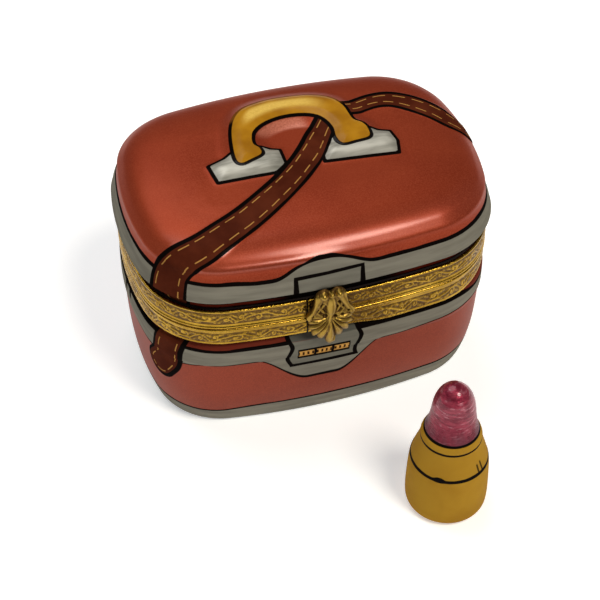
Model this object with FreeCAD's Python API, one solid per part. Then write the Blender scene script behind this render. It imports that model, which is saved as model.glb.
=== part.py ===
import FreeCAD, Part

import math
import os

from FreeCAD import Vector

# A hinged porcelain trinket box made as a small vanity case, with gilt brass mounts, and the
# porcelain lipstick that is kept in it, standing on the same table in front of the box.
# Millimetres, +Z up. The origin is on the table, in the middle of the box's foot, and the
# box's front faces -Y.

# Plan outline of the box: four shallow bowed sides joined by round corners. Every level of
# the box is this outline drawn in by a front inset and a side inset.
half_width = 28.5
half_depth = 20.75
corner_radius = 13.4
front_bow = 3.2
side_bow = 4.5

# Heights of the box
seam_height = 23.4
seam_gap = 0.05
band_bottom = 15.5
band_top = 18.9
lower_bezel_bottom = 20.2
upper_bezel_top = 26.9
lid_edge_height = 29.2
lid_band_top = 32.4

# Porcelain walls
neck_inset = 1.45
cavity_inset = 3.5
base_floor = 3.2
lid_ceiling = 34.6

# Lid crown: the round between the lid's side and its nearly flat top
crown_radius = 3.2
crown_side_inset = 1.2
crown_top = 36.9
crown_steps = 4
dome_inset = 9.0
dome_top = 37.5

# Bezels: thin brass strip bent round the neck, with a ledge that covers the porcelain's rim
bezel_inset = 0.55
bezel_wall = 0.5
bezel_ledge = 0.5
ledge_inset = 3.3
bezel_joint_x = -4.75
bezel_joint_gap = 0.25

# Hinge at the back: five tube knuckles on one pin, three on the base and two on the lid
knuckle_count = 5
knuckle_pitch = 3.2
knuckle_gap = 0.1
knuckle_radius = 1.1
pin_radius = 0.5
pin_clearance = 0.05
pin_head_radius = 0.85
pin_head_length = 0.35
bearer_thickness = 0.45
bearer_overlap = 0.8
bearer_height = 2.6
bearer_relief = 0.1
hinge_y = half_depth - bezel_inset + bearer_thickness + knuckle_radius

# Clasp at the front: cast ornament on a sprung tongue that snaps over a bead
lock_x = -1.7
clasp_back_y = -(half_depth + 0.1)
clasp_plate = 0.8
clasp_relief = 0.8
tongue_width = 3.2
tongue_top = 26.6
tongue_bottom = 20.7
tongue_stand_off = 0.2
bead_radius = 0.55
bead_height = 21.8
bead_proud = 0.35
bead_groove_width = 1.5

# Relief on the lid: a carrying handle lying flat and the two plates it is fixed to
relief_root = 36.0
plate_top = 38.2
handle_top = 39.0
handle_round = 0.9
plate_round = 0.35

# Lipstick, turned about its own axis: (radius, height) up its side
lipstick_x = 10.95
lipstick_y = -40.0
tube_radius = 6.1
tube_foot_round = 1.2
tube_line = (5.75, 10.1)
shoulder_middle = (5.3, 12.6)
tube_shoulder = (4.5, 14.5)
collar_top = (4.0, 15.9)
flare_middle = (3.62, 17.0)
bullet_waist = (3.4, 18.3)
bullet_radius = 3.05
bullet_tip = 24.6


# One closed level of the box: eight arcs, each tangent to the next
def outline(front_inset, side_inset, height):
    a = half_width - side_inset
    b = half_depth - front_inset
    corner = corner_radius - (front_inset + side_inset) / 2
    front_radius = (a * a + front_bow * front_bow) / (2 * front_bow)
    side_radius = (b * b + side_bow * side_bow) / (2 * side_bow)
    front_centre = Vector(0, b - front_radius, height)
    side_centre = Vector(a - side_radius, 0, height)
    centre = corner_centre(front_centre, front_radius - corner, side_centre, side_radius - corner)
    front_end = front_centre + (centre - front_centre) * (front_radius / (front_radius - corner))
    side_end = side_centre + (centre - side_centre) * (side_radius / (side_radius - corner))
    outward = ((front_end + side_end) * 0.5 - centre).normalize()
    corner_middle = centre + outward * corner
    edges = []
    for x_sign, y_sign in ((1, 1), (-1, 1), (-1, -1), (1, -1)):
        corner_points = [mirrored(p, x_sign, y_sign) for p in (side_end, corner_middle, front_end)]
        if x_sign == y_sign:
            far_end = mirrored(front_end, -x_sign, y_sign)
            next_middle = Vector(0, y_sign * b, height)
        else:
            corner_points.reverse()
            far_end = mirrored(side_end, x_sign, -y_sign)
            next_middle = Vector(x_sign * a, 0, height)
        edges.append(Part.Arc(*corner_points).toShape())
        edges.append(Part.Arc(corner_points[2], next_middle, far_end).toShape())
    return Part.Wire(edges)


# Where a circle about each centre cross, on the side away from the origin
def corner_centre(centre_a, radius_a, centre_b, radius_b):
    step = centre_b - centre_a
    gap = step.Length
    along = (radius_a ** 2 - radius_b ** 2 + gap ** 2) / (2 * gap)
    across = math.sqrt(radius_a ** 2 - along ** 2)
    direction = step.normalize()
    sideways = Vector(direction.y, -direction.x, 0)
    if sideways.x < 0:
        sideways = sideways * -1
    return centre_a + direction * along + sideways * across


def mirrored(point, x_sign, y_sign):
    return Vector(point.x * x_sign, point.y * y_sign, point.z)


# A solid through a list of levels, each (height, front inset, side inset)
def stack(levels):
    return Part.makeLoft([outline(front, side, height) for height, front, side in levels], True, True)


# An upright ring of even thickness between two insets
def ring(low, high, outer_inset, inner_inset):
    outer = stack([(low, outer_inset, outer_inset), (high, outer_inset, outer_inset)])
    inner = stack([(low - 1, inner_inset, inner_inset), (high + 1, inner_inset, inner_inset)])
    return outer.cut(inner)


def box_between(low, high):
    size = high - low
    return Part.makeBox(size.x, size.y, size.z, low)


def base_shell():
    neck_top = seam_height - seam_gap - bezel_ledge
    outside = stack([
        (0, 3.1, 2.2),
        (3.4, 2.25, 1.3),
        (9.0, 1.2, 0.75),
        (band_bottom - 0.3, 0.8, 0.65),
        (band_bottom, 0.5, 0.35),
        (band_top, 0.4, 0.4),
        (band_top + 0.8, neck_inset, neck_inset),
        (neck_top, neck_inset, neck_inset),
    ])
    inside = stack([
        (base_floor, 7.0, 6.2),
        (base_floor + 2.5, 4.9, 4.2),
        (band_bottom, cavity_inset + 0.1, cavity_inset + 0.1),
        (neck_top + 1, cavity_inset, cavity_inset),
    ])
    return outside.cut(inside)


def lid_shell():
    neck_bottom = seam_height + seam_gap + bezel_ledge
    levels = [
        (neck_bottom, neck_inset, neck_inset),
        (lid_edge_height - 0.9, neck_inset, neck_inset),
        (lid_edge_height - 0.3, 0.5, 0.5),
        (lid_edge_height, 0, 0),
        (lid_band_top, 0.3, 0.9),
    ]
    for step in range(crown_steps + 1):
        angle = math.radians(90 * step / crown_steps)
        inset = crown_side_inset + crown_radius * (1 - math.cos(angle))
        levels.append((crown_top - crown_radius * (1 - math.sin(angle)), inset, inset))
    levels.append((dome_top, dome_inset, dome_inset))
    inside = stack([
        (neck_bottom - 1, cavity_inset, cavity_inset),
        (lid_ceiling - 2, cavity_inset + 0.3, cavity_inset + 0.5),
        (lid_ceiling, 6.2, 6.2),
    ])
    solid = stack(levels).cut(inside)
    for relief in (handle_relief(), left_plate(), right_plate()):
        solid = solid.fuse(relief)
    return solid.removeSplitter()


# A flat raised shape on the lid: an upright prism of a closed outline with its top edges rounded
def relief_prism(wire, top, rounding):
    prism = Part.Face(wire).extrude(Vector(0, 0, top - relief_root))
    top_edges = [edge for edge in prism.Edges if edge.BoundBox.ZMin > top - 0.01]
    return prism.makeFillet(rounding, top_edges)


def curve_through(points):
    curve = Part.BSplineCurve()
    curve.interpolate([Vector(x, y, relief_root) for x, y in points])
    return curve.toShape()


def handle_relief():
    outer = curve_through(
        [(-10.1, 0.6), (-9.0, 5.9), (-5.9, 12.0), (0.6, 13.3), (7.6, 11.6), (10.6, 6.2), (11.0, 0.4)])
    inner = curve_through([(6.4, 0.4), (5.8, 5.7), (2.6, 8.4), (-2.2, 8.2), (-5.6, 5.6), (-6.1, 0.6)])
    right_foot = Part.makeLine(outer.Vertexes[-1].Point, inner.Vertexes[0].Point)
    left_foot = Part.makeLine(inner.Vertexes[-1].Point, outer.Vertexes[0].Point)
    return relief_prism(Part.Wire([outer, right_foot, inner, left_foot]), handle_top, handle_round)


def plate_relief(points):
    corners = [Vector(x, y, relief_root) for x, y in points]
    return relief_prism(Part.makePolygon(corners + corners[:1]), plate_top, plate_round)


def left_plate():
    return plate_relief(
        [(-14.0, 0.5), (-13.6, -3.3), (-4.6, -3.5), (-2.8, -1.6), (-3.4, 1.4), (-10.4, 1.8)])


def right_plate():
    return plate_relief([(3.2, -3.2), (14.2, -4.2), (15.0, -2.4), (14.4, 1.2), (6.2, 1.6), (3.6, 0.2)])


# One bezel: an upright strip with a ledge at the seam, cut through where its ends meet
def bezel(low, high, ledge_low):
    strip = ring(low, high, bezel_inset, bezel_inset + bezel_wall)
    ledge = ring(ledge_low, ledge_low + bezel_ledge, bezel_inset, ledge_inset)
    joint = box_between(
        Vector(bezel_joint_x - bezel_joint_gap / 2, -half_depth, low - 1),
        Vector(bezel_joint_x + bezel_joint_gap / 2, -half_depth / 2, high + 1),
    )
    return strip.fuse(ledge).removeSplitter().cut(joint)


def lower_bezel():
    return bezel(lower_bezel_bottom, seam_height - seam_gap, seam_height - seam_gap - bezel_ledge)


def upper_bezel():
    return bezel(seam_height + seam_gap, upper_bezel_top, seam_height + seam_gap)


# The thin bed of cement that holds a bezel on the porcelain neck
def lower_cement():
    ledge_underside = seam_height - seam_gap - bezel_ledge
    return ring(lower_bezel_bottom, ledge_underside, bezel_inset + bezel_wall, neck_inset)


def upper_cement():
    return ring(seam_height + seam_gap + bezel_ledge, upper_bezel_top, bezel_inset + bezel_wall, neck_inset)


def knuckle_start(index):
    return (index - knuckle_count / 2) * knuckle_pitch


def axis_cylinder(radius, start, length):
    return Part.makeCylinder(radius, length, Vector(start, hinge_y, seam_height), Vector(1, 0, 0))


# Even knuckles belong to the base and hold the pin tight; odd ones belong to the lid and turn
def knuckle(index):
    start = knuckle_start(index) + knuckle_gap / 2
    length = knuckle_pitch - knuckle_gap
    on_lid = index % 2 == 1
    bore = pin_radius + (pin_clearance if on_lid else 0)
    return axis_cylinder(knuckle_radius, start, length).cut(axis_cylinder(bore, start - 1, length + 2))


def hinge_pin():
    length = knuckle_count * knuckle_pitch
    start = knuckle_start(0)
    pin = axis_cylinder(pin_radius, start, length)
    for head_start in (start - pin_head_length, start + length):
        pin = pin.fuse(axis_cylinder(pin_head_radius, head_start, pin_head_length))
    return pin.removeSplitter()


# The strip soldered to a bezel that carries its knuckles: it fits round its own knuckles and
# stands clear of the other leaf's
def hinge_bearer(on_lid):
    half_length = knuckle_count * knuckle_pitch / 2 + bearer_overlap
    if on_lid:
        low = seam_height + seam_gap
        web_high = low + knuckle_radius * 0.75
        high = low + bearer_height
        web_low = low
    else:
        high = seam_height - seam_gap
        web_low = high - knuckle_radius * 0.75
        low = high - bearer_height
        web_high = high
    back = half_depth - bezel_inset + bearer_thickness
    strip = box_between(Vector(-half_length, half_depth - 3, low), Vector(half_length, back, high))
    web = box_between(
        Vector(knuckle_start(0), half_depth - 3, web_low),
        Vector(-knuckle_start(0), hinge_y - pin_radius, web_high),
    )
    bearer = strip.fuse(web)
    bearer = bearer.cut(stack([(low - 1, bezel_inset, bezel_inset), (high + 1, bezel_inset, bezel_inset)]))
    for index in range(knuckle_count):
        own = (index % 2 == 1) == on_lid
        radius = knuckle_radius if own else knuckle_radius + bearer_relief
        slack = knuckle_gap / 2 if own else 0
        start = knuckle_start(index) + slack
        bearer = bearer.cut(axis_cylinder(radius, start, knuckle_pitch - 2 * slack))
        if not own:
            open_side = box_between(
                Vector(start, back, web_low - 1),
                Vector(start + knuckle_pitch, hinge_y, web_high + 1),
            )
            bearer = bearer.cut(open_side)
    return bearer.removeSplitter()


# Outline of the cast ornament: two scrolls above, a fluted shell, and a leaf point below
def clasp_outline(scale, y):
    right_side = [
        (0.9, 29.6), (2.6, 28.9), (2.9, 27.2), (3.25, 25.0),
        (3.0, 22.6), (2.0, 20.6), (0.9, 19.6), (0.0, 18.6),
    ]
    middle = 24.4
    points = [Vector(lock_x, y, middle + (29.0 - middle) * scale)]
    for x, z in right_side:
        points.append(Vector(lock_x + x * scale, y, middle + (z - middle) * scale))
    for x, z in reversed(right_side[:-1]):
        points.append(Vector(lock_x - x * scale, y, middle + (z - middle) * scale))
    curve = Part.BSplineCurve()
    curve.interpolate(points, PeriodicFlag=True)
    return Part.Wire(curve.toShape())


def clasp_ornament():
    plate = Part.Face(clasp_outline(1.0, clasp_back_y)).extrude(Vector(0, -clasp_plate, 0))
    relief_y = clasp_back_y - clasp_plate
    relief = Part.Face(clasp_outline(0.72, relief_y)).extrude(Vector(0, -clasp_relief, 0))
    return plate.fuse(relief).removeSplitter()


# The strip behind the ornament: fixed to the upper bezel and hanging over the lower one
def clasp_tongue():
    half = tongue_width / 2
    fixed = box_between(
        Vector(lock_x - half, clasp_back_y, seam_height + seam_gap),
        Vector(lock_x + half, -half_depth + 2, tongue_top),
    )
    bezel_face = [(seam_height - 1, bezel_inset, bezel_inset), (tongue_top + 1, bezel_inset, bezel_inset)]
    fixed = fixed.cut(stack(bezel_face))
    back_y = -(half_depth - bezel_inset + tongue_stand_off)
    hanging = box_between(
        Vector(lock_x - half, clasp_back_y, tongue_bottom),
        Vector(lock_x + half, back_y, seam_height + seam_gap),
    )
    groove_y = -(half_depth - bezel_inset + bead_proud + 0.05)
    groove = box_between(
        Vector(lock_x - bead_groove_width / 2, groove_y, tongue_bottom - 1),
        Vector(lock_x + bead_groove_width / 2, back_y + 1, bead_height + bead_groove_width / 2),
    )
    return fixed.fuse(hanging).cut(groove).removeSplitter()


def catch_bead():
    face_y = -(half_depth - bezel_inset)
    centre = Vector(lock_x, face_y - bead_proud + bead_radius, bead_height)
    bead = Part.makeSphere(bead_radius, centre)
    bezel_face = [(bead_height - 2, bezel_inset, bezel_inset), (bead_height + 2, bezel_inset, bezel_inset)]
    return bead.cut(stack(bezel_face))


def lipstick():
    def at(radius, height):
        return Vector(lipstick_x + radius, lipstick_y, height)

    foot_round = Part.Arc(
        at(tube_radius - tube_foot_round, 0),
        at(tube_radius - tube_foot_round * (1 - math.sqrt(0.5)), tube_foot_round * (1 - math.sqrt(0.5))),
        at(tube_radius, tube_foot_round),
    )
    tube_side = Part.LineSegment(at(tube_radius, tube_foot_round), at(*tube_line))
    shoulder = Part.Arc(at(*tube_line), at(*shoulder_middle), at(*tube_shoulder))
    collar = Part.LineSegment(at(*tube_shoulder), at(*collar_top))
    flare = Part.Arc(at(*collar_top), at(*flare_middle), at(*bullet_waist))
    tip_centre = bullet_tip - bullet_radius
    bullet = Part.LineSegment(at(*bullet_waist), at(bullet_radius, tip_centre))
    half_way = bullet_radius * math.sqrt(0.5)
    tip = Part.Arc(at(bullet_radius, tip_centre), at(half_way, tip_centre + half_way), at(0, bullet_tip))
    centre_line = Part.LineSegment(at(0, bullet_tip), at(0, 0))
    underside = Part.LineSegment(at(0, 0), at(tube_radius - tube_foot_round, 0))
    profile = [underside, foot_round, tube_side, shoulder, collar, flare, bullet, tip, centre_line]
    face = Part.Face(Part.Wire([curve.toShape() for curve in profile]))
    return face.revolve(at(0, 0), Vector(0, 0, 1), 360)


def main():
    os.makedirs("parts", exist_ok=True)
    nodes = {
        "base_shell": base_shell(),
        "lower_bezel": lower_bezel(),
        "lower_bezel_cement": lower_cement(),
        "base_hinge_bearer": hinge_bearer(False),
        "lid_shell": lid_shell(),
        "upper_bezel": upper_bezel(),
        "upper_bezel_cement": upper_cement(),
        "lid_hinge_bearer": hinge_bearer(True),
        "hinge_pin": hinge_pin(),
        "clasp_ornament": clasp_ornament(),
        "clasp_tongue": clasp_tongue(),
        "catch_bead": catch_bead(),
        "lipstick": lipstick(),
    }
    for index in range(knuckle_count):
        side = "lid" if index % 2 == 1 else "base"
        nodes[f"{side}_knuckle_{index // 2 + 1}"] = knuckle(index)
    for name, shape in nodes.items():
        box = shape.BoundBox
        print(f"{name:20s} valid {shape.isValid()} solids {len(shape.Solids)} volume {shape.Volume:9.2f}"
              f"  z {box.ZMin:6.2f} to {box.ZMax:6.2f}  y {box.YMin:6.2f} to {box.YMax:6.2f}")
        shape.exportStep(f"parts/{name}.step")


main()
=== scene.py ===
import math

import bmesh
import bpy
import numpy as np
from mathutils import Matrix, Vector


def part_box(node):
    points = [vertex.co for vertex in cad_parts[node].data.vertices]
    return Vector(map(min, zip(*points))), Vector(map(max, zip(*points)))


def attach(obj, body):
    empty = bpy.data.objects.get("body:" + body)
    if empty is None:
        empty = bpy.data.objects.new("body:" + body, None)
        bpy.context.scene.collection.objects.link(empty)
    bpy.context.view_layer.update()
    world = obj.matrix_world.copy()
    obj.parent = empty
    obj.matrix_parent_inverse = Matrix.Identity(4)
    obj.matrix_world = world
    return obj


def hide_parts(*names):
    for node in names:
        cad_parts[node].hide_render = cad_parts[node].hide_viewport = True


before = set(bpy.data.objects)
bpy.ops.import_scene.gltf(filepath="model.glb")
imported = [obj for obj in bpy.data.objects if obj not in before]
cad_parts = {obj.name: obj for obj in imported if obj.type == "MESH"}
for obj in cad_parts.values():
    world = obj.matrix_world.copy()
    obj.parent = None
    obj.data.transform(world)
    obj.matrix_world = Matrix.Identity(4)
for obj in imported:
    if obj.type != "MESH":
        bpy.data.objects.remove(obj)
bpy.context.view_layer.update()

mm = 0.001  # sizes below are in millimetres and become metres where they reach a mesh


# places are read from the CAD frame
def boxMm(node):
    low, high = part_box(node)
    return [v / mm for v in low], [v / mm for v in high]


lowerLow, lowerHigh = boxMm("lower_bezel")
upperLow, upperHigh = boxMm("upper_bezel")
tubeLow, tubeHigh = boxMm("lipstick")
claspLow, claspHigh = boxMm("clasp_ornament")

# the plan shape that every level of the case is drawn in from
casePlan = {
    "halfWidth": 28.5,
    "halfDepth": 20.75,
    "cornerRadius": 13.4,
    "frontBow": 3.2,
    "sideBow": 4.5,
}
lockX = (claspLow[0] + claspHigh[0]) / 2  # the clasp and the painted lock share one middle
tubeX = (tubeLow[0] + tubeHigh[0]) / 2
tubeY = (tubeLow[1] + tubeHigh[1]) / 2


# The plan is eight arcs that run smoothly into each other. These are the centres and radii of the
# front's arc, the front right corner's and the right side's, at the given insets.
def planArcs(frontInset, sideInset):
    a = casePlan["halfWidth"] - sideInset
    b = casePlan["halfDepth"] - frontInset
    corner = casePlan["cornerRadius"] - (frontInset + sideInset) / 2
    frontR = (a * a + casePlan["frontBow"] ** 2) / (2 * casePlan["frontBow"])
    sideR = (b * b + casePlan["sideBow"] ** 2) / (2 * casePlan["sideBow"])
    frontC = np.array([0.0, frontR - b])
    sideC = np.array([a - sideR, 0.0])
    step = sideC - frontC
    gap = np.hypot(*step)
    u = step / gap
    along = ((frontR - corner) ** 2 - (sideR - corner) ** 2 + gap ** 2) / (2 * gap)
    across = math.sqrt((frontR - corner) ** 2 - along ** 2)
    side = np.array([-u[1], u[0]])
    if side[0] < 0:
        side = -side
    centre = frontC + u * along + side * across
    return frontC, frontR, centre, corner, sideC, sideR


def arcPoints(centre, radius, start, end, count):
    a0 = math.atan2(*(start - centre)[::-1])
    a1 = math.atan2(*(end - centre)[::-1])
    angles = np.linspace(a0, a1, count + 1)
    return centre + radius * np.stack([np.cos(angles), np.sin(angles)], 1)


# a quarter of the outline, from the middle of the front to the middle of the right side
def quarter(frontInset, sideInset, segments):
    frontC, frontR, cornerC, cornerR, sideC, sideR = planArcs(frontInset, sideInset)
    frontEnd = frontC + (cornerC - frontC) * frontR / (frontR - cornerR)
    sideEnd = sideC + (cornerC - sideC) * sideR / (sideR - cornerR)
    front = arcPoints(frontC, frontR, frontC + [0, -frontR], frontEnd, segments[0])
    corner = arcPoints(cornerC, cornerR, frontEnd, sideEnd, segments[1])
    side = arcPoints(sideC, sideR, sideEnd, sideC + [sideR, 0], segments[2])
    return np.concatenate([front[:-1], corner[:-1], side])


# The whole outline, anticlockwise from the middle of the front. Past the deepest inset that the
# corners allow, the outline only shrinks towards the middle.
def loopPoints(frontInset, sideInset, segments):
    deepest = 9.0
    shrink = 1.0
    if max(frontInset, sideInset) > deepest:
        shrink = 1 - (max(frontInset, sideInset) - deepest) / (casePlan["halfDepth"] - deepest)
        frontInset = sideInset = deepest
    q = quarter(frontInset, sideInset, segments) * max(shrink, 0)
    back = q[::-1] * [1, -1]
    return np.concatenate([q[:-1], back[:-1], (q * [-1, -1])[:-1], (q[::-1] * [-1, 1])[:-1]])


# distance along the outline from the middle of the front, positive to the right
def loopLengths(points):
    steps = np.hypot(*(np.roll(points, -1, 0) - points).T)
    s = np.concatenate([[0], np.cumsum(steps)[:-1]])
    total = steps.sum()
    return np.where(s > total / 2, s - total, s), total


def smooth(x, low, high):
    t = np.clip((x - low) / (high - low), 0, 1)
    return t * t * (3 - 2 * t)


def deselect():
    if bpy.context.object and bpy.context.object.mode != "OBJECT":
        bpy.ops.object.mode_set(mode="OBJECT")
    bpy.ops.object.select_all(action="DESELECT")


def setCoords(obj, co):
    obj.data.vertices.foreach_set("co", (np.asarray(co) * mm).astype(np.float32).ravel())
    obj.data.update()


def coords(obj):
    co = np.zeros(len(obj.data.vertices) * 3, np.float32)
    obj.data.vertices.foreach_get("co", co)
    return co.reshape(-1, 3).astype(float) / mm


def normals(obj):
    no = np.zeros(len(obj.data.vertices) * 3, np.float32)
    obj.data.vertices.foreach_get("normal", no)
    return no.reshape(-1, 3).astype(float)


# a mesh's edges as pairs of vertices, the lower first
def edgePairs(obj):
    edges = np.zeros(len(obj.data.edges) * 2, int)
    obj.data.edges.foreach_get("vertices", edges)
    return np.sort(edges.reshape(-1, 2), 1)


def writeAttribute(obj, name, values):
    attribute = obj.data.attributes.new(name, "FLOAT", "POINT")
    attribute.data.foreach_set("value", np.asarray(values, np.float32))


# joins the points that lie together, turns the faces outwards and shades them smooth
def editClean(obj):
    mergeWithin = 0.0005 * mm
    deselect()
    obj.select_set(True)
    bpy.context.view_layer.objects.active = obj
    bpy.ops.object.mode_set(mode="EDIT")
    bpy.ops.mesh.select_all(action="SELECT")
    bpy.ops.mesh.remove_doubles(threshold=mergeWithin)
    bpy.ops.mesh.normals_make_consistent(inside=False)
    bpy.ops.object.mode_set(mode="OBJECT")
    bpy.ops.object.shade_smooth()


def finishPiece(obj, name, body, slotName, materials, *nodes):
    obj.name = name
    obj.data.name = name
    for material in materials:
        obj.data.materials.append(material)
    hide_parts(*nodes)
    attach(obj, body)
    return obj


# a colour from 0 to 255 a channel, as a painter's chart gives it
def tint(r, g, b):
    def linear(c):
        c = c / 255
        return c / 12.92 if c <= 0.04045 else ((c + 0.055) / 1.055) ** 2.4
    return (linear(r), linear(g), linear(b), 1.0)


# one output socket, so that shader maths reads as an expression
class Value:
    def __init__(self, paint, socket):
        self.paint = paint
        self.socket = socket

    def maths(self, operation, a, b=0.0):
        return self.paint.node("ShaderNodeMath", {"operation": operation}, {0: a, 1: b})

    def __add__(self, other):
        return self.maths("ADD", self, other)

    def __sub__(self, other):
        return self.maths("SUBTRACT", self, other)

    def __rsub__(self, other):
        return self.maths("SUBTRACT", other, self)

    def __mul__(self, other):
        return self.maths("MULTIPLY", self, other)

    __radd__ = __add__
    __rmul__ = __mul__

    def most(self, other):
        return self.maths("MAXIMUM", self, other)

    def least(self, other):
        return self.maths("MINIMUM", self, other)

    def size(self):
        return self.maths("ABSOLUTE", self)

    def fold(self, span):
        return self.maths("PINGPONG", self, span)


class Paint:
    def __init__(self, name):
        self.material = bpy.data.materials.new(name)
        self.material.use_nodes = True
        self.tree = self.material.node_tree
        self.shader = self.tree.nodes["Principled BSDF"]

    def node(self, kind, settings=None, inputs=None, output=0):
        made = self.tree.nodes.new(kind)
        for key, setting in (settings or {}).items():
            setattr(made, key, setting)
        for key, given in (inputs or {}).items():
            self.feed(made.inputs[key], given)
        return Value(self, made.outputs[output])

    def feed(self, socket, given):
        if isinstance(given, Value):
            self.tree.links.new(given.socket, socket)
        else:
            socket.default_value = given

    def place(self):
        return self.node("ShaderNodeTexCoord", output="Object")

    def attribute(self, name):
        return self.node("ShaderNodeAttribute", {"attribute_name": name}, output="Fac")

    def noise(self, scale, detail=2.0, roughness=0.5, stretch=(1, 1, 1)):
        spot = self.node("ShaderNodeMapping", None, {"Vector": self.place(), "Scale": stretch})
        return self.node(
            "ShaderNodeTexNoise", None,
            {"Vector": spot, "Scale": scale, "Detail": detail, "Roughness": roughness}, "Fac")

    def step(self, value, low, high, start=0.0, end=1.0):
        return self.node(
            "ShaderNodeMapRange", {"interpolation_type": "SMOOTHSTEP"},
            {"Value": value, "From Min": low, "From Max": high, "To Min": start, "To Max": end})

    def fade(self, value, low, high):
        return self.step(value, low, high, 1.0, 0.0)

    # 1 where a value is over nought, or under it, with a soft edge
    def over(self, value, soft=0.04):
        return self.step(value, -soft, soft)

    def under(self, value, soft=0.04):
        return self.fade(value, -soft, soft)

    # a painted line along the place where a value is nought
    def line(self, value, half, soft=0.04):
        return self.under(value.size() - half, soft)

    def band(self, value, low, high, soft=0.05):
        return self.step(value, low - soft, low + soft) * self.fade(value, high - soft, high + soft)

    def mix(self, share, a, b):
        return self.node(
            "ShaderNodeMix", {"data_type": "RGBA"}, {0: share, 6: a, 7: b}, 2)

    def blendValue(self, share, a, b):
        return self.node("ShaderNodeMix", {"data_type": "FLOAT"}, {0: share, 2: a, 3: b}, 0)

    def bump(self, height, strength, distance):
        return self.node(
            "ShaderNodeBump", None,
            {"Height": height, "Strength": strength, "Distance": distance * mm}, "Normal")

    def finish(self, **sockets):
        for key, given in sockets.items():
            self.feed(self.shader.inputs[key.replace("_", " ")], given)
        return self.material


colours = {
    "lidRust": tint(146, 58, 34),
    "lidRustDeep": tint(134, 50, 29),
    "baseRust": tint(134, 60, 44),
    "baseRustDeep": tint(124, 54, 40),
    "grey": tint(132, 128, 115),
    "greyDeep": tint(115, 111, 100),
    "line": tint(12, 8, 7),
    "strap": tint(88, 39, 23),
    "strapDeep": tint(70, 28, 16),
    "stitch": tint(176, 128, 66),
    "ochre": tint(184, 130, 26),
    "ochreDeep": tint(152, 100, 18),
    "lipOchre": tint(172, 130, 40),
    "lipOchreDeep": tint(160, 117, 34),
    "glaze": tint(232, 230, 222),
    "brassDeep": tint(84, 56, 13),
    "rose": tint(160, 60, 78),
    "roseDeep": tint(112, 26, 46),
    "rosePale": tint(205, 138, 150),
    "cement": tint(205, 198, 180),
    "rustFleck": tint(196, 96, 66),
    "shadedNeckRed": tint(92, 30, 18),
    "shadedShoulderRed": tint(104, 42, 30),
    "plateSilver": tint(196, 193, 181),
    "plateSilverDeep": tint(134, 132, 122),
    "plateEdgeShade": tint(112, 110, 100),
    "lockUpper": tint(92, 92, 84),
    "lockLower": tint(96, 95, 86),
    "lockTop": tint(84, 83, 76),
    "archGlow": tint(222, 138, 112),
    "ridgeGlow": tint(236, 198, 98),
    "farLine": tint(112, 66, 24),
    "dial": tint(196, 146, 76),
    "dialMark": tint(50, 28, 12),
    "glazeShade": tint(222, 220, 212),
    "glazePit": tint(180, 172, 158),
    "gold": tint(190, 151, 56),
    "goldDeep": tint(154, 118, 36),
    "goldWorn": tint(150, 124, 62),
    "roseReflection": tint(122, 84, 94),
    "roseFoot": tint(92, 32, 44),
    "cementDeep": tint(176, 168, 148),
    "cementPaintAndShade": tint(34, 20, 15),
    "table": tint(252, 251, 250),
    "tableShade": tint(248, 247, 245),
}


# a smooth line through given points, closed or open
def curveThrough(points, closed=False, perSpan=8):
    p = np.asarray(points, float)
    if closed:
        p = np.concatenate([p[-1:], p, p[:2]])
    else:
        p = np.concatenate([2 * p[:1] - p[1:2], p, 2 * p[-1:] - p[-2:-1]])
    t = np.linspace(0, 1, perSpan, endpoint=False)[:, None]
    spans = []
    for a, b, c, d in zip(p[:-3], p[1:-2], p[2:-1], p[3:]):
        square = 2 * a - 5 * b + 4 * c - d
        cube = 3 * b - 3 * c + d - a
        spans.append(0.5 * (2 * b + (c - a) * t + square * t ** 2 + cube * t ** 3))
    if not closed:
        spans.append(p[-2:-1])
    return np.concatenate(spans)


# distance from a closed plan outline, negative inside
def outlineDistance(x, y, outline):
    best = np.full(len(x), 1e9)
    inside = np.zeros(len(x), bool)
    for (x0, y0), (x1, y1) in zip(outline, np.roll(outline, -1, 0)):
        dx, dy = x1 - x0, y1 - y0
        t = np.clip(((x - x0) * dx + (y - y0) * dy) / (dx * dx + dy * dy + 1e-12), 0, 1)
        best = np.minimum(best, (x - x0 - t * dx) ** 2 + (y - y0 - t * dy) ** 2)
        if abs(dy) > 1e-9:
            crosses = ((y0 > y) != (y1 > y)) & (x < dx * (y - y0) / dy + x0)
            inside ^= crosses
    return np.where(inside, -1, 1) * np.sqrt(best)


# where points lie on a strap: (distance across, distance along, half width there)
def strapPlace(co, no, path, widths):
    lengths = np.concatenate([[0], np.cumsum(np.linalg.norm(np.diff(path, axis=0), axis=1))])
    best = np.full(len(co), 1e9)
    along = np.zeros(len(co))
    half = np.zeros(len(co))
    sign = np.ones(len(co))
    for i in range(len(path) - 1):
        step = path[i + 1] - path[i]
        t = np.clip(((co - path[i]) @ step) / (step @ step), 0, 1)
        off = co - path[i] - t[:, None] * step
        d = np.linalg.norm(off, axis=1)
        nearer = d < best
        best = np.where(nearer, d, best)
        along = np.where(nearer, lengths[i] + t * np.linalg.norm(step), along)
        half = np.where(nearer, widths[i] * (1 - t) + widths[i + 1] * t, half)
        left = np.cross(no, step)
        sign = np.where(nearer, np.sign((off * left).sum(1)), sign)
    return best * sign, along, half


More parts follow.
